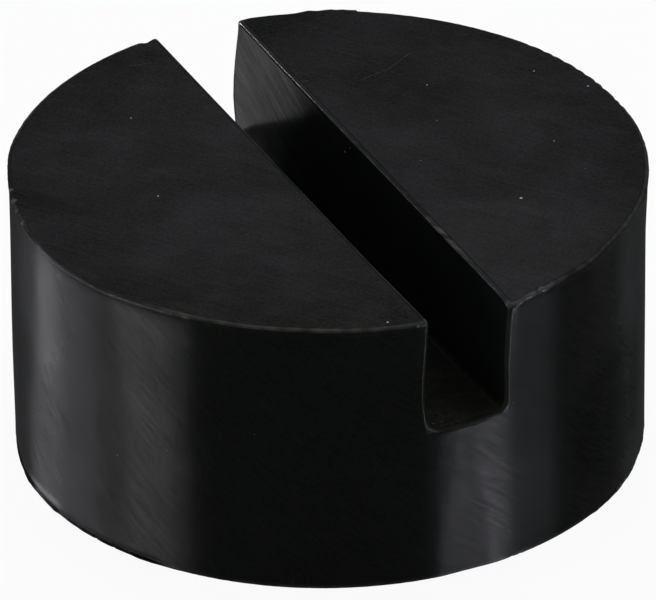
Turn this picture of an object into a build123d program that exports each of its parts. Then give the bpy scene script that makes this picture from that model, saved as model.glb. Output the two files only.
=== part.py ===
"""Rubber jack pad: one moulded puck with a straight slot across its top for a sill seam.

Millimetres, +Z up. The origin is the centre of the flat base, and the slot runs along Y.
"""

from build123d import *
import os

# The puck, wider at the top by the draft of its mould
pad_height = 30.0
base_diameter = 64.2
top_diameter = 64.8

# Thin lip that the mould leaves round the top rim, and how far from the slot it stops
lip_overhang = 0.1
lip_flare_height = 0.3
lip_edge_radius = 0.25
lip_stop = 1.0

# Thin flash round the foot
flash_overhang = 0.12
flash_thickness = 0.25

# The slot, open at both ends
slot_width = 8.8
slot_depth = 13.4
slot_floor_radius = 1.3
land_edge_radius = 0.45

base_radius = base_diameter / 2
top_radius = top_diameter / 2
lip_radius = top_radius + lip_overhang
flash_radius = base_radius + flash_overhang
slot_floor_height = pad_height - slot_depth
slot_length = 2 * lip_radius + 2 * flash_radius


def side_radius(height):
    """Radius of the tapered side wall at a height above the base."""
    return base_radius + (top_radius - base_radius) * height / pad_height


def puck():
    """The solid of revolution, with the flash round its foot."""
    flash_top = flash_thickness + flash_overhang
    outline = Polyline(
        (0, 0),
        (flash_radius, 0),
        (flash_radius, flash_thickness),
        (side_radius(flash_top), flash_top),
        (top_radius, pad_height),
        (0, pad_height),
        close=True,
    )
    return revolve(Plane.XZ * make_face(outline), axis=Axis.Z)


def slot_cutter():
    """Straight bar along Y with rounded lower corners, from above the top to the slot's floor."""
    section = Pos(0, pad_height) * Rectangle(slot_width, 2 * slot_depth)
    floor_corners = section.vertices().group_by(Axis.Y)[0]
    section = fillet(floor_corners, min(slot_floor_radius, 0.49 * slot_width))
    return extrude(Plane.XZ * section, amount=slot_length / 2, both=True)


def land_edges(block):
    """The edges of both lands and both slot ends, without the smooth seams inside the slot."""
    seams = block.edges().filter_by(Axis.Y).filter_by(lambda edge: edge.center().Z < pad_height)
    upper = block.edges().filter_by(lambda edge: edge.center().Z > slot_floor_height - land_edge_radius)
    return [edge for edge in upper if edge not in seams]


def rim_lip():
    """Ring of the lip's section, cut away on both sides of the slot."""
    flare_bottom = pad_height - lip_edge_radius - lip_flare_height
    ring_inner = top_radius - lip_stop
    outline = Polyline(
        (ring_inner, pad_height),
        (ring_inner, flare_bottom),
        (side_radius(flare_bottom), flare_bottom),
        (lip_radius, pad_height - lip_edge_radius),
        (lip_radius, pad_height),
        close=True,
    )
    section = make_face(outline)
    top_corner = section.vertices().sort_by_distance((lip_radius, pad_height))[0]
    section = fillet(top_corner, lip_edge_radius)
    ring = revolve(Plane.XZ * section, axis=Axis.Z)
    gap = Box(slot_width + 2 * lip_stop, slot_length, 2 * pad_height)
    return ring - Pos(0, 0, pad_height) * gap


def jack_pad():
    """The whole moulding."""
    block = puck() - slot_cutter()
    block = fillet(land_edges(block), land_edge_radius)
    return block + rim_lip()


pad = jack_pad()
pad.label = "jack_pad"
pad.color = Color(0.03, 0.03, 0.035)

os.makedirs("parts", exist_ok=True)
export_step(pad, "parts/jack_pad.step")
print("jack_pad", round(pad.volume), "cubic mm,", len(pad.faces()), "faces, valid:", pad.is_valid)
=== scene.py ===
import math
import bmesh
import bpy
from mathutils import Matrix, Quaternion, Vector, noise


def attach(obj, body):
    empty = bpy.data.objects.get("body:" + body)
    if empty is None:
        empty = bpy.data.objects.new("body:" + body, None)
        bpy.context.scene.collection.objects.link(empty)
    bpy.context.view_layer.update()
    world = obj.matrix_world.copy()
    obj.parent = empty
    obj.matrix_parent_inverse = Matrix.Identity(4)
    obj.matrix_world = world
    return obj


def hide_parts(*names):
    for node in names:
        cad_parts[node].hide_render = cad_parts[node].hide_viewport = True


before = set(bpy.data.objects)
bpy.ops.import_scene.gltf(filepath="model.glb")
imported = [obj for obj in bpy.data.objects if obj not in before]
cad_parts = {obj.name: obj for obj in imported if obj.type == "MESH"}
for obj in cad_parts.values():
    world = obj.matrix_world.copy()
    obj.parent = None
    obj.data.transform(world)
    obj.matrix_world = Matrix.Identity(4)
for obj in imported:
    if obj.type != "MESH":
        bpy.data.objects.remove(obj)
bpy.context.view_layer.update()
cadNode = "jack_pad"

# Rubber moulding, in millimetres. Angles are in degrees, 0 at +X, anticlockwise seen from above.
pad = {
    "height": 30.0,
    "baseRadius": 32.1,
    "topRadius": 32.4,
    "slotWidth": 8.8,
    "slotDepth": 13.4,
    "slotShift": 0.4,  # the mould's tongue stands a little off centre
    "floorRadius": {"left": 1.3, "right": 0.7},
    "floorSegments": 6,
    "edgeRadius": 0.42,
    "edgeSegments": 5,
    "rimRadius": 0.31,
    "rimClear": 0.5,  # this far beside the slot the rim starts to take its own radius
    "aroundSteps": 960,
    "cornerClear": 1.0,  # no circle point this near a slot wall, so the bevels have room
    "slotStep": 0.45,  # spacing of the cuts along the slot
    "sideLevels": (0.05, 0.11, 0.18, 0.26, 0.36, 0.5, 0.9, 1.4, 2, 2.7, 3.4, 4, 6, 8, 10, 12, 14, 15.5, 16.1),
    "wallLevels": (18.5, 19.5, 21, 23, 25, 27, 28.4, 29.0, 29.35, 29.5),
    "notchCuts": (2.7, 3.2, 3.7, 4.2, 4.65, 5.1),  # finer columns under the slot's corners
    "postCut": 4.92,  # a narrow column beside the slot's rounded end edges keeps the wall's shading flat
    "landInsets": (0.1, 0.2, 0.4, 1.0),
    "footInsets": (0.1, 0.3, 1.0),
    "ringMerge": 0.02,  # corners of these insets closer than this are joined
    "middleCorners": 60,  # the middle of a flat face has more corners than this
    "onWall": 0.05,  # a corner this near the side wall lies on it
    "sharp": 30,  # an edge that turns by more degrees than this is rounded
    "boxSide": 32.49,  # the CAD model's own reach across and along the slot
    "boxEnd": 32.24,
}
halfSlot = pad["slotWidth"] / 2
floorZ = pad["height"] - pad["slotDepth"]
region = {"side": 0, "land": 1, "slot": 2, "foot": 3}  # material of each part of the surface
tiny = 1e-4  # places closer than this count as one
levelFace = 0.9  # a face is level where the upward part of its normal is past this


def sideRadiusAt(z):
    return pad["baseRadius"] + (pad["topRadius"] - pad["baseRadius"]) * z / pad["height"]


def cutAt(bm, faces, point, normal):
    # splits only those of the given faces that the plane crosses
    point, normal = Vector(point), Vector(normal)
    parts = {}  # a dictionary, because its keys keep their order
    for face in faces:
        sides = [(vert.co - point).dot(normal) for vert in face.verts]
        if min(sides) < -tiny and max(sides) > tiny:
            parts.update(dict.fromkeys([face, *face.edges, *face.verts]))
    bmesh.ops.bisect_plane(bm, geom=list(parts), dist=tiny / 10, plane_co=point, plane_no=normal)


def pullUp(bm, faces, height):
    made = bmesh.ops.extrude_face_region(bm, geom=faces)["geom"]
    raised = [item for item in made if isinstance(item, bmesh.types.BMVert)]
    bmesh.ops.translate(bm, vec=(0, 0, height), verts=raised)


def blockOut(bm):
    # a disc, split into two lands and the strip between them, is pulled up to the slot's floor
    bmesh.ops.create_circle(bm, cap_ends=True, radius=pad["baseRadius"], segments=pad["aroundSteps"])
    for x in (-halfSlot, halfSlot):
        cutAt(bm, bm.faces[:], (x, 0, 0), (1, 0, 0))
    crowded = [
        vert for vert in bm.verts
        if tiny < abs(vert.co.x) - halfSlot < pad["cornerClear"]
        or tiny < halfSlot - abs(vert.co.x) < pad["cornerClear"] + pad["floorRadius"]["left"]
    ]
    bmesh.ops.dissolve_verts(bm, verts=crowded)
    pullUp(bm, bm.faces[:], floorZ)
    bm.normal_update()
    # then the lands alone go on to the top
    lands = [
        face for face in bm.faces
        if face.normal.z > levelFace and abs(face.calc_center_median().x) > halfSlot
    ]
    pullUp(bm, lands, pad["slotDepth"])
    bmesh.ops.delete(bm, geom=lands, context="FACES_ONLY")
    bm.normal_update()


def joinSides(bm):
    # the side wall runs in one piece from foot to rim, so every corner has three edges
    ring = [
        edge for edge in bm.edges
        if all(abs(v.co.z - floorZ) < tiny and abs(v.co.x) > halfSlot - tiny for v in edge.verts)
        and abs(edge.verts[0].co.x - edge.verts[1].co.x) > tiny
    ]
    posts = [
        edge for edge in bm.edges
        if all(abs(abs(v.co.x) - halfSlot) < tiny for v in edge.verts)
        and min(v.co.z for v in edge.verts) < tiny and max(v.co.z for v in edge.verts) > floorZ - tiny
    ]
    bmesh.ops.dissolve_edges(bm, edges=ring + posts, use_verts=True)


def setTaper(bm):
    for vert in bm.verts:
        x, y, z = vert.co
        if abs(abs(x) - halfSlot) < tiny:
            vert.co.y = math.copysign(math.sqrt(sideRadiusAt(z) ** 2 - x * x), y)
        else:
            grow = sideRadiusAt(z) / math.hypot(x, y)
            vert.co.x, vert.co.y = x * grow, y * grow


def roundEdges(bm, edges, radius, segments):
    bmesh.ops.bevel(
        bm, geom=edges, offset=radius, offset_type="OFFSET", segments=segments, profile=0.5,
        affect="EDGES", clamp_overlap=False, material=-1,
    )


def alongSlot(edge):
    return abs(edge.verts[0].co.y - edge.verts[1].co.y) > pad["baseRadius"]


def roundFloorCorners(bm):
    for hand, radius in pad["floorRadius"].items():
        wallX = -halfSlot if hand == "left" else halfSlot
        corner = [
            edge for edge in bm.edges
            if alongSlot(edge) and abs(edge.verts[0].co.z - floorZ) < tiny
            and abs(edge.verts[0].co.x - wallX) < tiny
        ]
        roundEdges(bm, corner, radius, pad["floorSegments"])
    bm.normal_update()


def roundOuterEdges(bm):
    borders = [
        edge for edge in bm.edges
        if edge.is_convex and edge.calc_face_angle(0) > math.radians(pad["sharp"])
        and max(v.co.z for v in edge.verts) > tiny
    ]
    roundEdges(bm, borders, pad["edgeRadius"], pad["edgeSegments"])
    bm.normal_update()


def markRegions(bm):
    for face in bm.faces:
        if face.normal.z < -levelFace:
            part = "foot"
        elif face.normal.z > levelFace and face.calc_center_median().z > pad["height"] - tiny:
            part = "land"
        elif any(alongSlot(edge) for edge in face.edges):
            part = "slot"
        else:
            part = "side"
        face.material_index = region[part]


def facesOf(bm, *parts):
    wanted = [region[part] for part in parts]
    return [face for face in bm.faces if face.material_index in wanted]


def ringIn(bm, part, insets, outline, line):
    # rings just inside a flat face's outline, so that what moves its edge leaves its middle alone
    reach = 0.0
    for width in insets:
        reach += width
        inner = [face for face in facesOf(bm, part) if len(face.verts) > pad["middleCorners"]]
        bmesh.ops.inset_region(bm, faces=inner, thickness=0.0)
        ring = list(dict.fromkeys(vert for face in inner for vert in face.verts))
        for vert in ring:
            x, y = vert.co.x, vert.co.y
            pull = min(1.0, (outline - reach) / math.hypot(x, y))
            x, y = x * pull, y * pull
            if abs(x) < line + reach:
                x = math.copysign(line + reach, x)
                limit = math.sqrt((outline - reach) ** 2 - x * x)
                y = min(max(y, -limit), limit)
            vert.co.x, vert.co.y = x, y
        bmesh.ops.remove_doubles(bm, verts=ring, dist=pad["ringMerge"])


def addDetailCuts(bm):
    footLines = [e for e in bm.edges if alongSlot(e) and max(v.co.z for v in e.verts) < tiny]
    bmesh.ops.dissolve_edges(bm, edges=footLines)
    markRegions(bm)
    steps = int(pad["topRadius"] / pad["slotStep"]) - 1
    for step in range(-steps, steps + 1):
        cutAt(bm, facesOf(bm, "slot"), (0, step * pad["slotStep"], 0), (0, 1, 0))
    for z in pad["sideLevels"] + pad["wallLevels"]:
        cutAt(bm, facesOf(bm, "side", "slot"), (0, 0, z), (0, 0, 1))
    notchTop = pad["sideLevels"][-1]
    for distance in pad["notchCuts"]:
        for x in (-distance, distance):
            below = [f for f in facesOf(bm, "side") if f.calc_center_median().z < notchTop]
            cutAt(bm, below, (x, 0, 0), (1, 0, 0))
    for x in (-pad["postCut"], pad["postCut"]):
        cutAt(bm, facesOf(bm, "side"), (x, 0, 0), (1, 0, 0))
    for vert in bm.verts:
        x, y, z = vert.co
        off = math.hypot(x, y) - sideRadiusAt(z)
        if abs(x) < halfSlot + pad["cornerClear"] and z <= notchTop + tiny and abs(off) < pad["onWall"]:
            vert.co.y = math.copysign(math.sqrt(sideRadiusAt(z) ** 2 - x * x), y)
    edge = pad["edgeRadius"]
    ringIn(bm, "land", pad["landInsets"], pad["topRadius"] - edge, halfSlot + edge)
    ringIn(bm, "foot", pad["footInsets"], pad["baseRadius"], -pad["baseRadius"])
    bm.normal_update()


print("pad: block out")
mesh = bpy.data.meshes.new("jackPadRubber")
bm = bmesh.new()
blockOut(bm)
joinSides(bm)
setTaper(bm)
roundFloorCorners(bm)
roundOuterEdges(bm)
print("pad: detail cuts")
addDetailCuts(bm)

# Marks of the mould and of wear, in millimetres and degrees. Soft is how gently a stretch ends.
wear = {
    "lip": {"out": 0.1, "bottom": 29.25, "full": 29.5, "slotGap": 0.5, "slotFull": 1.4},
    "ragged": {"out": 0.035, "fine": 0.6},
    "wavy": {"from": -4, "to": 24, "soft": 3, "out": 0.12, "period": 3.1, "uneven": 1.5, "middle": 0.55},
    "backBump": {"from": 59.05, "to": 68, "steep": 0.1, "soft": 3.5, "out": 0.42,
                 "least": 0.75, "uneven": 0.5},
    "burr": {"from": 165, "to": 173, "soft": 2.5, "out": 0.06, "drop": 0.1, "fine": 0.7, "pale": 0.5},
    "nicks": ((161, 0.45, 0.3), (164.6, 0.4, 0.35), (-74.2, 0.5, 0.2)),  # angle, half width, depth
    "frontFlash": {"from": -77.5, "to": -72, "soft": 0.5, "out": 0.07, "pale": 0.6},
    "chips": ((-82.2, 1.1, 0.28), (-97.6, 0.8, 0.2), (100.3, 1.5, 0.2), (-128, 0.5, 0.1)),
    "chipDrop": 0.8,  # a chip's drop as a share of its depth
    "rimBand": {"from": 29.1, "deep": 1.4, "dropFrom": 29.3, "dropFull": 29.8},  # what the rim's marks move
    # thin flash at the foot on the left, and a soft flare all round the front
    "foot": {"out": 0.09, "full": 0.1, "least": 0.25, "uneven": 0.6, "rough": 0.03,
             "from": 166, "to": 212, "soft": 8},
    "groove": {"in": 0.03, "at": 0.3, "high": 0.25, "least": 0.6, "uneven": 0.8, "atBulge": 0.06},
    "flare": {"from": -186, "to": -47, "soft": 12, "out": 0.26, "high": 16.5},
    "footBulge": ((172, 186, 0.1), (182, 212, 0.06), (-152.5, -149.5, 0.06), (-60, -50, 0.08),
                  (-37.5, -33, 0.08)),
    "bulge": {"soft": 1.5, "least": 0.8, "uneven": 0.6},
    "footNicks": ((-81, 0.5, 0.1), (-79.2, 0.3, 0.08), (-157.6, 0.4, 0.12), (-162, 0.3, 0.1)),
    "footDeep": 1.2,
    # how far the slot's walls stand to +X near their ends: at the mouth, at 9 mm depth and at the floor
    "walls": {
        ("left", "front"): (0.2, -0.28, 0.1),
        ("right", "front"): (0.0, -0.2, -0.2),
        ("right", "back"): (0.12, -0.5, -0.3),
    },
    "wallMiddle": 9.0,
    "wallReach": 15.0,
    "wallFoot": 0.5,  # the lean ends this far below the slot's floor
    "wallFade": {"land": 2.4, "slot": 4.0},  # over which a wall's lean fades into the land and the slot
    # where the upper wall stands in a little: from, to, how much, how far down and soft
    "drawnIn": ((158, 172, 0.3, 22, 14), (-142, -118, 0.25, 20, 24), (-146, -122, 0.2, 6, 14),
                (-80, -62, -0.25, 8, 9), (-36, -10, -0.2, 8, 9), (34, 54, 0.12, 4, 9), (70, 86, 0.38, 4, 9)),
    "drawnTop": 0.6,  # full from this far below the top
    "drawnDeep": 1.6,
    # the slot's floor rises to its front end, and takes the wall a little below and above it along
    "floorRise": {"up": 0.55, "reach": 12.0, "beside": 1.5, "below": 2.7, "belowFade": 2.2,
                  "above": 0.8, "aboveFade": 3.5},
    # the ragged front end of the floor, with more rubber left at its right corner
    "tornEnd": {"from": -30.8, "over": 0.9, "thick": 0.4, "fade": 0.9, "beside": 0.5,
                "corner": 0.42, "cornerFrom": 0.4, "cornerOver": 3.4,
                "ragged": 0.2, "waves": 1.4, "fineWaves": 4.5, "fine": 0.8, "least": 0.4, "raggedOver": 2.0},
    "softCorner": {"at": (5.1, -31.8), "reach": 2.3, "from": 27.0, "down": 0.42, "across": 0.2},
    # the tongue's offset moves the slot and fades over the lands and down the wall below it
    "offset": {"clear": 1.0, "over": 6.0, "below": 5.0, "rise": 4.0, "wallFrom": 31.0},
    # how much paler the edges are, rubbed wear with painted highlight on their rounding and at the foot a
    # painted reflection of the floor, and where less: from, to, soft and the share left
    "pale": {"rim": 0.8, "mouth": 0.3, "ends": 0.27, "floorEnd": 0.18, "foot": 0.6},
    "paleAndHighlightLess": ((150, 206, 14, 0.35), (-66, 28, 9, 0.68)),
}


def smooth(value):
    value = min(max(value, 0.0), 1.0)
    return value * value * (3 - 2 * value)


def between(angle, start, end, soft):
    middle, half = (start + end) / 2, (end - start) / 2
    beyond = abs((angle - middle + 180) % 360 - 180) - half
    return 1 - smooth(beyond / soft)


def stretchOf(angle, mark):
    return between(angle, mark["from"], mark["to"], mark["soft"])


def notchAt(angle, middle, halfWidth):
    away = abs((angle - middle + 180) % 360 - 180)
    return 1 - smooth(away / halfWidth)


def wobble(angle, pitch, seed):
    # an even noise round the pad, with one wave about every pitch degrees
    turn = math.radians(angle)
    reach = 180 / (math.pi * pitch)
    return noise.noise(Vector((math.cos(turn) * reach, math.sin(turn) * reach, seed)))


def rimShift(x, z, angle):
    # outward and downward moves of the top rim
    mark = wear["lip"]
    fromSlot = abs(x - pad["slotShift"]) - halfSlot
    clear = smooth((fromSlot - mark["slotGap"]) / (mark["slotFull"] - mark["slotGap"]))
    high = smooth((z - mark["bottom"]) / (mark["full"] - mark["bottom"]))
    out = mark["out"] * clear
    mark = wear["ragged"]
    fine = mark["fine"] * wobble(angle, pitch=0.55, seed=7.7)
    out += mark["out"] * (wobble(angle, pitch=1.6, seed=3.1) + fine) * clear
    mark = wear["wavy"]
    wave = abs(math.sin(math.pi * angle / mark["period"] + mark["uneven"] * wobble(angle, pitch=5, seed=1.3)))
    out += mark["out"] * stretchOf(angle, mark) * (wave - mark["middle"])
    mark = wear["backBump"]
    part = between(angle, mark["from"], mark["to"], mark["steep"] if angle < mark["from"] else mark["soft"])
    out += mark["out"] * part * (mark["least"] + mark["uneven"] * wobble(angle, pitch=1.4, seed=9.2))
    mark = wear["burr"]
    part = stretchOf(angle, mark)
    torn = wobble(angle, pitch=0.9, seed=4.4) + mark["fine"] * wobble(angle, pitch=0.4, seed=2.6)
    out += mark["out"] * part * torn
    down = mark["drop"] * part * smooth(0.5 - torn)
    mark = wear["frontFlash"]
    out += mark["out"] * stretchOf(angle, mark)
    for middle, halfWidth, deep in wear["nicks"]:
        out -= deep * notchAt(angle, middle, halfWidth)
    for middle, halfWidth, deep in wear["chips"]:
        part = notchAt(angle, middle, halfWidth)
        out -= deep * part
        down += deep * wear["chipDrop"] * part
    return out * high, down * high


def footShift(z, angle):
    # the flash at the foot, with the shadowed groove above it, and the flare of the wall
    mark, groove = wear["foot"], wear["groove"]
    low = 1 - smooth((z - mark["full"]) / (groove["at"] - mark["full"]))
    part = stretchOf(angle, mark)
    out = mark["out"] * (mark["least"] + (1 - mark["least"]) * part)
    out *= 1 + mark["uneven"] * wobble(angle, pitch=6, seed=5.5)
    out += mark["rough"] * wobble(angle, pitch=1.1, seed=8.8)
    sunk = groove["in"] * part * (groove["least"] + groove["uneven"] * wobble(angle, pitch=8, seed=6.1))
    mark = wear["bulge"]
    for start, end, more in wear["footBulge"]:
        part = between(angle, start, end, mark["soft"])
        out += more * part * (mark["least"] + mark["uneven"] * wobble(angle, pitch=2.2, seed=2.9))
        sunk += groove["atBulge"] * part
    for middle, halfWidth, deep in wear["footNicks"]:
        out -= deep * notchAt(angle, middle, halfWidth)
    sunk *= 1 - smooth(abs(z - groove["at"]) / groove["high"])
    mark = wear["flare"]
    flare = mark["out"] * stretchOf(angle, mark) * (1 - smooth(z / mark["high"]))
    return out * low - sunk + flare


def leanShift(x, y, z):
    # the slot's walls aren't quite upright near three of their ends
    shift = 0.0
    depth = pad["height"] - z
    upper = smooth(depth / wear["wallMiddle"])
    lower = smooth((depth - wear["wallMiddle"]) / (pad["slotDepth"] - wear["wallMiddle"]))
    for (hand, end), (mouth, middle, bottom) in wear["walls"].items():
        wallX, facing = (-halfSlot, -1) if hand == "left" else (halfSlot, 1)
        toEnd = -y if end == "front" else y
        nearEnd = smooth((toEnd - pad["topRadius"] + wear["wallReach"]) / wear["wallReach"])
        fade = wear["wallFade"]["land" if (x - wallX) * facing > 0 else "slot"]
        nearWall = 1 - smooth(abs(x - wallX) / fade)
        shift += (mouth + (middle - mouth) * upper + (bottom - middle) * lower) * nearEnd * nearWall
    return shift


def drawnShift(z, angle):
    # the upper wall isn't quite round
    shift = 0.0
    for start, end, much, far, soft in wear["drawnIn"]:
        high = smooth((z - pad["height"] + far) / (far - wear["drawnTop"]))
        shift += much * between(angle, start, end, soft) * high
    return shift


def sinkShift(x, y, z):
    # the slot's floor rises to the front, and one corner of the right land hangs
    mark = wear["floorRise"]
    fromFloor = z - floorZ
    up = mark["up"] * smooth((mark["reach"] - pad["topRadius"] - y) / mark["reach"])
    up *= 1 - smooth((abs(x) - halfSlot) / mark["beside"])
    up *= smooth((fromFloor + mark["below"]) / mark["belowFade"])
    up *= 1 - smooth((fromFloor - mark["above"]) / mark["aboveFade"])
    mark = wear["tornEnd"]
    front = smooth((mark["from"] - y) / mark["over"])
    front *= 1 - smooth((abs(fromFloor) - mark["thick"]) / mark["fade"])
    if front > 0 and abs(x) < halfSlot + mark["beside"]:
        torn = noise.noise(Vector((x * mark["waves"], 0, 3.3)))
        torn += mark["fine"] * noise.noise(Vector((x * mark["fineWaves"], 0, 1.7)))
        torn *= mark["ragged"] * (mark["least"] + (1 - mark["least"]) * smooth(x / mark["raggedOver"]))
        up += front * (mark["corner"] * smooth((x - mark["cornerFrom"]) / mark["cornerOver"]) + torn)
    mark = wear["softCorner"]
    soft = 1 - smooth(math.dist((x, y), mark["at"]) / mark["reach"])
    soft *= smooth((z - mark["from"]) / (pad["height"] - mark["from"]))
    return soft * mark["across"], up - soft * mark["down"]


def tightenRim(x, z, radius, edge):
    # the rim's rounding is tighter than that of the slot's edges
    squeeze = 1 - pad["rimRadius"] / pad["edgeRadius"]
    tight = squeeze * smooth(abs(x) - halfSlot - pad["rimClear"])
    return radius + edge * tight, z + (pad["height"] - z) * tight


def wearDown(bm):
    top = pad["height"]
    band, offset = wear["rimBand"], wear["offset"]
    for vert in bm.verts:
        x, y, z = vert.co
        radius = math.hypot(x, y)
        angle = math.degrees(math.atan2(y, x))
        edge = sideRadiusAt(z) - radius  # how far in from the wall
        if z > top - pad["edgeRadius"] and tiny < edge < pad["edgeRadius"]:
            radius, z = tightenRim(x, z, radius, edge)
        radialOut = 0.0
        if z > band["from"] and edge < band["deep"]:
            inward = 1 - smooth(edge / band["deep"])
            out, down = rimShift(x + pad["slotShift"], z, angle)
            radialOut += out * inward
            z -= down * inward * smooth((z - band["dropFrom"]) / (band["dropFull"] - band["dropFrom"]))
        if z < wear["flare"]["high"] and edge < wear["footDeep"]:
            radialOut += footShift(z, angle) * (1 - smooth(edge / wear["footDeep"]))
        radialOut -= drawnShift(z, angle) * (1 - smooth(edge / wear["drawnDeep"]))
        grow = (radius + radialOut) / math.hypot(x, y) if radius > 1 else 1.0  # leaves the middle alone
        newX, newY = x * grow, y * grow
        if z > floorZ - wear["wallFoot"]:
            newX += leanShift(x, y, z)
        across, up = sinkShift(newX, newY, z)
        newX += across
        z += up
        slotNear = 1 - smooth((abs(x) - halfSlot - offset["clear"]) / offset["over"])
        newX += pad["slotShift"] * slotNear * smooth((z - floorZ + offset["below"]) / offset["rise"])
        # what the offset moves on the wall stays on the wall's round
        if abs(x) < halfSlot + offset["clear"] + offset["over"] and radius > offset["wallFrom"]:
            reach = math.hypot(newX, newY)
            keep = (radius + radialOut) / reach
            newY = math.copysign(math.sqrt(max((reach * keep) ** 2 - newX * newX, 0)), newY)
        vert.co = (
            min(max(newX, -pad["boxSide"]), pad["boxSide"]),
            min(max(newY, -pad["boxEnd"]), pad["boxEnd"]),
            min(max(z, 0.0), top),
        )


# How the rounded edges are marked for the materials. Turn is 0 on a flat face and grows over an edge.
edgeMark = {
    "deep": 0.6,  # edges reach no further than this from the faces beside them
    "dullTurn": {"tight": 0.002, "rim": 0.02, "side": 0.05},  # turn at which an edge is fully dull
    "paleHighlightTurn": 0.06,
    "rimDeep": 0.8,  # the rim reaches this far in, and the slot's mouth starts behind it
    "inSlot": 0.3,  # this far inside the slot's walls lies the end of its floor
    "post": 0.5,  # this far beside them their end edges are over
    "creaseFrom": 0.28,  # height up to which the foot's flash is a dull crease, and over which that fades
    "creaseFade": 0.14,
    "creaseSoft": 14,
    # height over which the foot's painted reflection of the floor fades
    "footReflectionHeight": 0.5,
    "rubbed": {"even": 0.85, "patchy": 0.4},
    "torn": {"soft": 2, "even": 0.4, "patchy": 1.6, "nickWide": 1.6},
    # how even the foot's painted reflection of the floor is round the pad
    "low": {"even": 0.8, "patchy": 0.8},
}


def turnOf(vert, across, atTop):
    # how far the surface at this corner turns away from each of the faces that meet there
    x, y, z = vert.co
    normal = vert.normal
    facing = [(normal.x * x + normal.y * y) / across]
    if atTop:
        facing.append(normal.z)
    if z < edgeMark["deep"]:
        facing.append(-normal.z)
    if abs(x) < halfSlot + edgeMark["post"] and z > floorZ - edgeMark["deep"]:
        facing.append(abs(normal.x) if atTop else math.hypot(normal.x, normal.z))
    return 1 - max(facing)


# how pale a rounded edge is: rubbed wear with painted highlight
def rubbedAndHighlightAt(place, angle, point):
    mark = edgeMark["rubbed"]
    rubbed = mark["even"] + mark["patchy"] * wobble(angle, pitch=2.2, seed=6.6)
    rubbed += mark["patchy"] * noise.noise(point)
    rubbed *= wear["pale"][place]
    for start, end, soft, left in wear["paleAndHighlightLess"]:
        rubbed *= 1 - (1 - left) * between(angle, start, end, soft)
    return rubbed


def tornPale(angle):
    # torn places on the rim are paler than the rest of it
    more = 0.0
    mark = edgeMark["torn"]
    for name in ("burr", "frontFlash"):
        part = between(angle, wear[name]["from"], wear[name]["to"], mark["soft"])
        patches = smooth(mark["even"] + mark["patchy"] * wobble(angle, pitch=0.5, seed=2.6))
        more += wear[name]["pale"] * part * patches
    for middle, halfWidth, deep in wear["nicks"]:
        more += notchAt(angle, middle, halfWidth * mark["nickWide"])
    return more


def markEdges(bm):
    # where the outer edges are rounded, and so dull, and how pale they are there: rubbed wear with painted
    # highlight on the rounding, and a painted reflection of the floor on the foot's flash
    dull = bm.verts.layers.float.new("edgeDull")
    pale = bm.verts.layers.float.new("edgeWearAndPaintedLight")
    foot = wear["foot"]
    for vert in bm.verts:
        x, y, z = vert.co
        across = math.hypot(x, y)
        atTop = z > pad["height"] - edgeMark["deep"]
        if not atTop and across <= sideRadiusAt(z) - edgeMark["deep"]:
            continue
        angle = math.degrees(math.atan2(y, x))
        turned = turnOf(vert, across, atTop)
        crease = between(angle, foot["from"], foot["to"], edgeMark["creaseSoft"])
        crease *= 1 - smooth((z - edgeMark["creaseFrom"]) / edgeMark["creaseFade"])
        onRim = across > pad["topRadius"] - edgeMark["rimDeep"]
        inSlot = abs(x) < halfSlot - edgeMark["inSlot"]
        kind = "tight" if inSlot or atTop and not onRim else "rim" if atTop else "side"
        vert[dull] = max(smooth(turned / edgeMark["dullTurn"][kind]), crease)
        if atTop:
            rubbed = rubbedAndHighlightAt("rim" if onRim else "mouth", angle, vert.co) + tornPale(angle)
        else:
            rubbed = rubbedAndHighlightAt("floorEnd" if inSlot else "ends", angle, vert.co)
        # the foot's flash is paler: painted reflection of the floor along the wall's foot
        low = wear["pale"]["foot"] * (1 - smooth(z / edgeMark["footReflectionHeight"])) * (1 - crease)
        low *= edgeMark["low"]["even"] + edgeMark["low"]["patchy"] * wobble(angle, pitch=3, seed=2.2)
        vert[pale] = max(rubbed * smooth(turned / edgeMark["paleHighlightTurn"]), low, 0.0)


print("pad: wear and moulding marks")
markEdges(bm)
wearDown(bm)
bmesh.ops.remove_doubles(bm, verts=bm.verts[:], dist=tiny)
bmesh.ops.scale(bm, vec=(0.001, 0.001, 0.001), verts=bm.verts[:])  # to metres
bm.normal_update()
for face in bm.faces:
    face.smooth = True
bm.to_mesh(mesh)
bm.free()
piece = bpy.data.objects.new("jackPadRubber", mesh)
bpy.context.scene.collection.objects.link(piece)
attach(piece, "root")
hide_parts(cadNode)

print("materials")


class Signal:
    # a value in a material, so that sums on it are written as plain expressions
    def __init__(self, tree, socket):
        self.tree, self.socket = tree, socket

    def maths(self, operation, *others):
        node = self.tree.nodes.new("ShaderNodeMath")
        node.operation = operation
        for slot, value in zip(node.inputs, (self, *others)):
            plug(self.tree, slot, value)
        return Signal(self.tree, node.outputs[0])

    def __add__(self, other):
        return self.maths("ADD", other)

    def __sub__(self, other):
        return self.maths("SUBTRACT", other)

    def __rsub__(self, other):
        return self.maths("MULTIPLY", -1.0).maths("ADD", other)

    def __mul__(self, other):
        return self.maths("MULTIPLY", other)

    def clip(self, low, high):
        # 0 at low, 1 at high, smooth between
        node = self.tree.nodes.new("ShaderNodeMapRange")
        node.interpolation_type = "SMOOTHSTEP"
        for slot, value in zip(node.inputs, (self, low, high, 0.0, 1.0)):
            plug(self.tree, slot, value)
        return Signal(self.tree, node.outputs[0])

    __radd__ = __add__
    __rmul__ = __mul__


def plug(tree, slot, value):
    if isinstance(value, Signal):
        tree.links.new(value.socket, slot)
    else:
        slot.default_value = value


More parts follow.
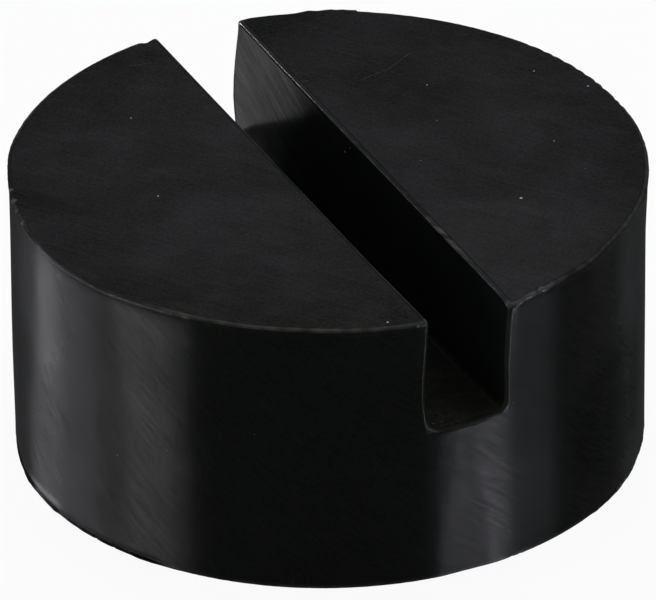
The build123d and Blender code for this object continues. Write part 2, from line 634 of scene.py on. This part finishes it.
class Finish:
    # the nodes of one material, or of the world, which all come from its node method
    def __init__(self, owner):
        owner.use_nodes = True
        self.owner, self.tree = owner, owner.node_tree
        self.tree.nodes.clear()

    def node(self, kind, settings=None, sockets=None, out=0):
        # out is one output's name or number, or a tuple of them
        node = self.tree.nodes.new("ShaderNode" + kind)
        for name, value in (settings or {}).items():
            setattr(node, name, value)
        for name, value in (sockets or {}).items():
            plug(self.tree, node.inputs[name], value)
        if isinstance(out, tuple):
            return [Signal(self.tree, node.outputs[name]) for name in out]
        return Signal(self.tree, node.outputs[out])

    def place(self):
        # the piece's own coordinates in millimetres
        coords = self.node("TexCoord", out="Object")
        return self.node("Mapping", {"vector_type": "POINT"}, {"Vector": coords, "Scale": (1000, 1000, 1000)})

    def lay(self, where, turn, stretch):
        # coordinates turned, then stretched, for a pattern that runs one way
        turned = self.node("Mapping", {"vector_type": "POINT"}, {
            "Vector": where, "Rotation": [math.radians(a) for a in turn],
        })
        return self.node("Mapping", {"vector_type": "POINT"}, {"Vector": turned, "Scale": stretch})

    def noise(self, where, scale, detail=3.0, rough=0.65, bend=0.0):
        return self.node("TexNoise", None, {
            "Vector": where, "Scale": scale, "Detail": detail, "Roughness": rough, "Distortion": bend,
        })

    def apart(self, first, second):
        return self.node("VectorMath", {"operation": "DISTANCE"}, {0: first, 1: second}, out="Value")

    def blend(self, share, first, second):
        return self.node("Mix", {"data_type": "RGBA"}, {0: share, 6: first, 7: second}, out=2)

    def close(self, shader):
        kind = "OutputWorld" if isinstance(self.owner, bpy.types.World) else "OutputMaterial"
        self.node(kind, None, {"Surface": shader}, out=())
        return self.owner


rubber = {
    "black": (0.0021, 0.0026, 0.0023, 1),
    "faded": (0.0055, 0.0058, 0.006, 1),
    "dim": (0.0098, 0.0116, 0.0105, 1),  # the slot's walls tinted lighter: painted light falling into the slot
    "floor": (0.0125, 0.0119, 0.0096, 1),
    "edge": (0.068, 0.067, 0.061, 1),  # rubbed edges and the thin flash at rim and foot, with painted highlight on the rounded edges and a painted reflection of the floor on the foot's flash
    "dust": (0.36, 0.35, 0.34, 1),
    "mattRough": 0.9,
    "edgeMatt": 0.93,  # share of the shiny layer that a dull edge loses
    "speckHeight": 1.5,
    "bump": {"Strength": 0.5, "Distance": 0.00003},
    "grain": 3.0,  # fineness of the moulded grain
    "leastVary": 0.2,
    # share of the shiny layer over the plain matt rubber, that layer's roughness,
    # and how much each pattern varies that share
    "side": {"gloss": 0.07, "rough": 0.255,
             "vary": {"cloud": 0.2, "slanted": 1.1, "grain": 1.0, "smear": 0.25}},
    "land": {"gloss": 0.12, "rough": 0.4,
             "vary": {"cloud": 0.8, "rubbed": 0.7, "swirl": 0.4, "blotch": 0.5, "grain": 2.0}},
    "slot": {"gloss": 0.33, "rough": 0.19, "low": 0.06, "floorRougher": 0.2,
             "vary": {"cloud": 0.5, "drawn": 1.3, "grain": 0.5}},
    "foot": {"gloss": 0.1, "rough": 0.5, "vary": {"cloud": 1.0, "rubbed": 1.0}},
    # places on the wall: x, y, z, radius and how much more or less they shine
    "shinyFoot": (-32.1, -0.4, 0.9, 4.2, 1.9),
    "sideTones": ((20.1, -25.4, 10.0, 10.0, -0.35), (-32.0, -0.3, 23.0, 9.0, 0.3),
                  (32.0, -4.6, 15.0, 14.0, -0.3)),
    # and on the lands: x, y, radius and how much
    "landTones": ((10.4, -23.6, 13.0, 0.4), (15.0, 11.5, 8.0, -0.2), (-13.5, -22.5, 8.0, -0.15),
                  (8.0, 24.0, 9.0, -0.2)),
    # sparse dust all over: spacing and largest radius
    "dustOn": {"side": (2.4, 0.075), "land": (2.4, 0.08), "slot": (2.8, 0.07), "foot": (2.4, 0.08)},
    # single specks: x, y, z and radius
    "sideSpecks": ((-20.1, -25.25, 17.5, 0.1), (-30.14, -11.05, 0.3, 0.12), (-29.52, -12.89, 11.05, 0.1),
                   (-28.48, -14.9, 4.56, 0.09), (22.53, -22.91, 3.4, 0.07),
                   (13.91, -28.97, 3.8, 0.07), (19.57, -25.46, 0.85, 0.08), (5.6, -31.8, 17.8, 0.05)),
    "landSpecks": ((-7.6, -30.4, 30, 0.14), (15.0, -14.31, 30, 0.17), (31.03, 3.02, 30, 0.12),
                   (27.46, 8.27, 30, 0.1), (16.45, 10.6, 30, 0.09), (23.01, -5.49, 30, 0.09),
                   (-17.54, 2.53, 30, 0.1), (-13.38, 18.08, 30, 0.08)),
    "slotSpecks": ((4.8, 5.66, 27.7, 0.12), (4.8, 4.44, 28.8, 0.08)),
    # scratches on the lands: start and end, then width
    "landScratches": (((5.13, 17.23), (5.95, 16.82), 0.09), ((11.14, 14.66), (14.58, 15.46), 0.07),
                      ((14.58, 15.46), (17.93, 17.46), 0.06), ((-8.91, 27.77), (-6.28, 27.36), 0.07)),
    "scratchPale": 0.08,
    "grime": (-2.9, -31.4, 17.2, 4.2),  # dust in the slot's front corner: x, y, z and radius
    "grimePale": 0.05,
}


def sparseDust(finish, where, part):
    # tiny pale specks, one in about half of the cells
    cell, size = rubber["dustOn"][part]
    empty = 0.45  # share of the cells without a speck
    fade = 0.04  # width of a speck's soft edge
    apart, tint = finish.node(
        "TexVoronoi", None, {"Vector": where, "Scale": 1 / cell}, out=("Distance", "Color"))
    pick = finish.node("SeparateColor", None, {"Color": tint})
    limit = (pick - empty).maths("MAXIMUM", 0.0) * (size / cell / (1 - empty))
    return ((limit - apart) * (cell / fade)).clip(0.0, 1.0)


def speckAt(finish, here, x, y, z, size):
    return 1 - finish.apart(here, (x, y, z)).clip(size * 0.5, size * 1.1)


def scratchAt(finish, here, start, end, width):
    # pale line between two places on the lands
    first, last = Vector((*start, pad["height"])), Vector((*end, pad["height"]))
    line = last - first
    away = finish.node("VectorMath", {"operation": "SUBTRACT"}, {0: here, 1: first})
    unit = line / line.length_squared
    along = finish.node("VectorMath", {"operation": "DOT_PRODUCT"}, {0: away, 1: unit}, out="Value")
    along = along.maths("MAXIMUM", 0.0).maths("MINIMUM", 1.0)
    nearest = finish.node("VectorMath", {"operation": "SCALE"}, {0: line, "Scale": along})
    return 1 - finish.apart(away, nearest).clip(width * 0.3, width)


def allOf(signals):
    total = signals[0]
    for signal in signals[1:]:
        total = total.maths("MAXIMUM", signal)
    return total


def glossOf(part, base, **patterns):
    # the shiny layer's share: a base and the patterns, which all lie about 0.5
    total = base
    for name, amount in rubber[part]["vary"].items():
        total = total + (patterns[name] - 0.5) * amount
    return total.maths("MAXIMUM", rubber["leastVary"]) * rubber[part]["gloss"]


def coat(finish, worn, specks, gloss, rough, relief, faded=rubber["faded"], stretched=False):
    # matt rubber under a thin shiny layer; the mesh itself says where its edges are dull and where they are
    # pale, that paleness rubbed wear with painted highlight and painted reflection
    dull = finish.node("Attribute", {"attribute_name": "edgeDull"}, out="Fac")
    pale = finish.node("Attribute", {"attribute_name": "edgeWearAndPaintedLight"}, out="Fac")
    colour = finish.blend(worn.maths("MINIMUM", 1.0), rubber["black"], faded)
    # pale edges: rubbed wear with painted highlight on the rounding and painted reflection of the floor at
    # the foot
    colour = finish.blend(pale, colour, rubber["edge"])
    colour = finish.blend(specks, colour, rubber["dust"])
    bumps = finish.node("Bump", None, {"Height": relief + specks * rubber["speckHeight"], **rubber["bump"]})
    matt = finish.node("BsdfPrincipled", None, {
        "Base Color": colour, "Roughness": rubber["mattRough"], "Specular IOR Level": 0.0, "Normal": bumps,
    })
    # a stretched gloss draws the lamps out up and down the wall
    shiny = finish.node("BsdfPrincipled", None, {
        "Base Color": colour, "Roughness": rough, "Normal": bumps,
        "Anisotropic": 1.0 if stretched else 0.0, "Anisotropic Rotation": 0.25 if stretched else 0.0,
    })
    share = gloss * (1 - dull * rubber["edgeMatt"])
    return finish.close(finish.node("MixShader", None, {0: share, 1: matt, 2: shiny}))


def sideFinish():
    finish = Finish(bpy.data.materials.new("rubberSide"))
    here = finish.place()
    # distance round the wall and height, with the seam under the slot's far end
    x, y, z = finish.node("SeparateXYZ", None, {"Vector": here}, out=("X", "Y", "Z"))
    around = x.maths("ARCTAN2", y * -1.0) * pad["topRadius"]
    wrapped = finish.node("CombineXYZ", None, {"X": around, "Y": z})
    cloud = finish.noise(here, scale=0.12, rough=0.55, bend=0.3)
    grain = finish.noise(here, scale=rubber["grain"])
    slanted = finish.noise(finish.lay(wrapped, (0, 0, 40), (0.22, 2.8, 1)), scale=1.0, detail=4.0, bend=0.2)
    smear = finish.noise(finish.lay(wrapped, (0, 0, 30), (0.12, 0.6, 1)), scale=1.0, rough=0.6, bend=0.5)
    specks = allOf([sparseDust(finish, here, "side")] + [
        speckAt(finish, here, *s) for s in rubber["sideSpecks"]])
    worn = cloud.clip(0.35, 0.7) * 0.35 + grain.clip(0.35, 0.8) * 0.3
    # the thin flash at the foot is dull, and the wall just above it is rubbed shiny on one side
    *spot, more = rubber["shinyFoot"]
    base = speckAt(finish, here, *spot) * z.clip(0.4, 0.6) * (1 - z.clip(0.7, 1.5)) * more + 1.0
    for *spot, more in rubber["sideTones"]:
        base = base + speckAt(finish, here, *spot) * more
    gloss = glossOf("side", base, cloud=cloud, slanted=slanted, grain=grain, smear=smear)
    rough = rubber["side"]["rough"] + (cloud - 0.5) * 0.05 + (slanted - 0.5) * 0.05
    return coat(finish, worn, specks, gloss, rough, grain * 0.15 + slanted * 0.07, stretched=True)


def landFinish():
    finish = Finish(bpy.data.materials.new("rubberLand"))
    here = finish.place()
    cloud = finish.noise(here, scale=0.1, detail=4.0, rough=0.6, bend=0.8)
    blotch = finish.noise(here, scale=0.55, detail=4.0, bend=0.6)
    grain = finish.noise(here, scale=rubber["grain"], rough=0.7)
    rubbed = finish.noise(
        finish.lay(here, (0, 0, 56), (0.12, 2.2, 1)), scale=1.0, detail=4.0, rough=0.7, bend=0.3)
    swirl = finish.noise(
        finish.lay(here, (0, 0, 22), (0.15, 0.9, 1)), scale=1.0, detail=4.0, rough=0.7, bend=1.0)
    middle = 1 - finish.node("VectorMath", {"operation": "LENGTH"}, {0: here}, out="Value").clip(36.0, 45.0)
    scratches = allOf([scratchAt(finish, here, *s) for s in rubber["landScratches"]])
    scratches = scratches * grain.clip(0.3, 0.6) * rubber["scratchPale"]
    specks = allOf([sparseDust(finish, here, "land"), scratches] + [
        speckAt(finish, here, *s) for s in rubber["landSpecks"]])
    worn = cloud.clip(0.3, 0.7) * 0.6 + rubbed.clip(0.35, 0.7) * 0.35 + grain.clip(0.3, 0.8) * 0.4
    base = middle * 0.3 + 0.8
    for x, y, reach, more in rubber["landTones"]:
        base = base + speckAt(finish, here, x, y, pad["height"], reach) * more
    gloss = glossOf("land", base, cloud=cloud, rubbed=rubbed, swirl=swirl, blotch=blotch, grain=grain)
    rough = rubber["land"]["rough"] + (cloud - 0.5) * 0.12 + (rubbed - 0.5) * 0.1
    return coat(finish, worn, specks, gloss, rough, grain * 0.4 + rubbed * 0.4)


def slotFinish():
    finish = Finish(bpy.data.materials.new("rubberSlot"))
    here = finish.place()
    y, z = finish.node("SeparateXYZ", None, {"Vector": here}, out=("Y", "Z"))
    cloud = finish.noise(here, scale=0.15, rough=0.55)
    grain = finish.noise(here, scale=rubber["grain"])
    drawn = finish.noise(
        finish.lay(here, (-22, 0, 0), (0.5, 0.12, 1.6)), scale=1.0, detail=4.0, rough=0.7, bend=0.8)
    crumbs = finish.noise(here, scale=3.2, rough=0.6)
    grime = speckAt(finish, here, *rubber["grime"]) * crumbs.clip(0.45, 0.75) * rubber["grimePale"]
    specks = allOf([sparseDust(finish, here, "slot"), grime] + [
        speckAt(finish, here, *s) for s in rubber["slotSpecks"]])
    # the tongue of the mould leaves the walls smooth and the floor dull, and shines towards the back
    wall = z.clip(floorZ + 0.6, floorZ + 1.6) * (1 - y.clip(31.0, 31.5) * (1 - z.clip(25.0, 28.0)) * 0.9)
    base = y.clip(12.0, 30.0) * 0.45 + 0.55
    low = rubber["slot"]["low"] / rubber["slot"]["gloss"]
    gloss = glossOf("slot", base, cloud=cloud, drawn=drawn, grain=grain)
    gloss = gloss * (wall * y.clip(9.0, 21.0) * (1 - low) + low)
    front = 1 - y.clip(-31.0, -20.0)
    # the walls take the lighter wall tint, painted light falling into the slot
    worn = wall * 0.65 + cloud.clip(0.35, 0.7) * 0.25 + drawn.clip(0.4, 0.7) * 0.25
    worn = worn + (1 - wall) * front * 0.35
    rough = rubber["slot"]["rough"] + (cloud - 0.5) * 0.08 + (1 - wall) * rubber["slot"]["floorRougher"]
    faded = finish.blend(wall, rubber["floor"], rubber["dim"])
    return coat(finish, worn, specks, gloss, rough, grain * 0.2 + drawn * 0.2, faded=faded)


def footFinish():
    finish = Finish(bpy.data.materials.new("rubberFoot"))
    here = finish.place()
    cloud = finish.noise(here, scale=0.12, detail=4.0, rough=0.6, bend=0.5)
    rubbed = finish.noise(finish.lay(here, (0, 0, 35), (0.15, 1.2, 1)), scale=1.0, detail=4.0)
    grain = finish.noise(here, scale=rubber["grain"])
    worn = cloud.clip(0.35, 0.7) * 0.6 + rubbed.clip(0.35, 0.7) * 0.5
    gloss = glossOf("foot", 1.0, cloud=cloud, rubbed=rubbed)
    rough = rubber["foot"]["rough"] + (cloud - 0.5) * 0.12
    return coat(finish, worn, sparseDust(finish, here, "foot"), gloss, rough, grain * 0.5 + rubbed * 0.4)


for made in (sideFinish, landFinish, slotFinish, footFinish):
    mesh.materials.append(made())

print("floor, lights and camera")
studio = {
    "floorSize": 3.0,
    "floorDrop": 0.00002,  # the floor lies this far below the pad
    "floorColor": (0.8, 0.8, 0.8, 1),
    "glow": 0.93,  # share of plain white that the background shows, the rest is the lit floor with its shadow
    "white": (1, 1, 1, 1),
    "worldColor": (0.176, 0.204, 0.184, 1),
    "backdropRise": (0.01, 0.03),
    "cameraTurn": -24.885,
    "cameraRise": 30.596,
    "cameraRoll": -0.932,
    "cameraFar": 1.625,
    "lens": 877.06,
    "sensor": 36,
    "clip": (0.1, 20),
    "aimHeight": 0.014479,
    "boxTint": (1.03, 0.97, 1.08),
    # turn from the camera's side, rise, distance, width, height, brightness
    "softboxes": {
        "topBox": (180, 75, 0.9, 0.9, 0.9, 2.6),
        "backBox": (180, 32, 0.9, 0.9, 0.5, 0.8),
    },
    # strips that only shiny surfaces mirror, so they draw the bands on the wall without lighting it:
    # turn, half its angle, brightness and tint
    "stripRise": 8,
    "stripFar": 0.65,
    "stripHeight": 0.18,
    "strips": {
        "farLeftStrip": (-125, 6, 27.0, (0.94, 0.98, 1.12)),
        "leftBackStrip": (-110.3, 8.8, 380.0, (1.02, 0.985, 1.06)),
        "leftStrip": (-92.5, 8.5, 210.0, (1.0, 0.99, 1.06)),
        "leftMidStrip": (-77.2, 6.9, 118.0, (1.02, 0.99, 1.02)),
        "leftFrontStrip": (-66.5, 4.4, 222.0, (1.03, 0.99, 1.0)),
        "leftInnerStrip": (-58, 4.1, 168.0, (1.03, 0.99, 1.0)),
        "leftNearStrip": (-51, 3, 66.0, (1.0, 1.0, 1.0)),
        "rightNearStrip": (41, 4, 90.0, (0.985, 0.99, 1.08)),
        "rightStrip": (53.2, 7.5, 258.0, (0.985, 0.99, 1.1)),
        "rightSideStrip": (70.5, 9, 60.0, (0.98, 0.995, 1.08)),
        "farRightStrip": (121, 3, 55.0, (0.92, 0.99, 1.1)),
    },
}
aim = Vector((0, 0, studio["aimHeight"]))


def fromCamera(turn, rise, far):
    # a place round the pad, its turn measured from the camera's side, positive to the right
    angle = math.radians(studio["cameraTurn"] - 90 + turn)
    lift = math.radians(rise)
    return Vector((math.cos(angle) * math.cos(lift), math.sin(angle) * math.cos(lift), math.sin(lift))) * far


def rayShare(finish):
    return allOf(finish.node("LightPath", out=("Is Camera Ray", "Is Glossy Ray", "Is Transmission Ray")))


def addFloor():
    floorMesh = bpy.data.meshes.new("studioFloor")
    bm = bmesh.new()
    bmesh.ops.create_grid(bm, x_segments=1, y_segments=1, size=studio["floorSize"])
    bmesh.ops.translate(bm, vec=(0, 0, -studio["floorDrop"]), verts=bm.verts[:])
    bm.to_mesh(floorMesh)
    bm.free()
    floor = bpy.data.objects.new("studioFloor", floorMesh)
    bpy.context.scene.collection.objects.link(floor)
    pale = Finish(bpy.data.materials.new("paleFloor"))
    lit = pale.node("BsdfDiffuse", None, {"Color": studio["floorColor"]})
    glow = pale.node("Emission", None, {"Color": studio["white"], "Strength": 1.0})
    share = rayShare(pale) * studio["glow"]
    floorMesh.materials.append(pale.close(pale.node("MixShader", None, {0: share, 1: lit, 2: glow})))


def addWorld():
    # white all round for the camera; shiny surfaces see it as a low backdrop under a dim studio
    sky = Finish(bpy.data.worlds.new("studioWorld"))
    rise = sky.node("SeparateXYZ", None, {"Vector": sky.node("TexCoord", out="Generated")}, out="Z")
    backdrop = rayShare(sky) * (1 - rise.maths("ABSOLUTE").clip(*studio["backdropRise"]))
    white = sky.node("LightPath", out="Is Camera Ray").maths("MAXIMUM", backdrop)
    colour = sky.blend(white, studio["worldColor"], studio["white"])
    bpy.context.scene.world = sky.close(sky.node("Background", None, {"Color": colour, "Strength": 1.0}))


def addLamp(name, turn, rise, far, width, height, bright, tint):
    lamp = bpy.data.lights.new(name, "AREA")
    lamp.shape, lamp.size, lamp.size_y = "RECTANGLE", width, height
    lamp.color = tint
    lamp.energy = bright * math.pi * width * height
    holder = bpy.data.objects.new(name, lamp)
    bpy.context.scene.collection.objects.link(holder)
    holder.location = aim + fromCamera(turn, rise, far)
    holder.rotation_euler = (aim - holder.location).to_track_quat("-Z", "Y").to_euler()
    holder.visible_camera = False
    return holder


def addStrip(name, turn, half, bright, tint):
    far = studio["stripFar"]
    width = 2 * far * math.tan(math.radians(half))
    strip = addLamp(name, turn, studio["stripRise"], far, width, studio["stripHeight"], bright, tint)
    strip.visible_diffuse = False


def addCamera():
    camera = bpy.data.cameras.new("photoCamera")
    camera.lens, camera.sensor_width = studio["lens"], studio["sensor"]
    camera.clip_start, camera.clip_end = studio["clip"]
    holder = bpy.data.objects.new("photoCamera", camera)
    bpy.context.scene.collection.objects.link(holder)
    holder.location = aim + fromCamera(0, studio["cameraRise"], studio["cameraFar"])
    look = (aim - holder.location).to_track_quat("-Z", "Y")
    holder.rotation_euler = (look @ Quaternion((0, 0, 1), math.radians(studio["cameraRoll"]))).to_euler()
    bpy.context.scene.camera = holder


addFloor()
addWorld()
for name, values in studio["softboxes"].items():
    addLamp(name, *values, studio["boxTint"])
for name, values in studio["strips"].items():
    addStrip(name, *values)
addCamera()
bpy.context.scene.view_settings.view_transform = "Standard"
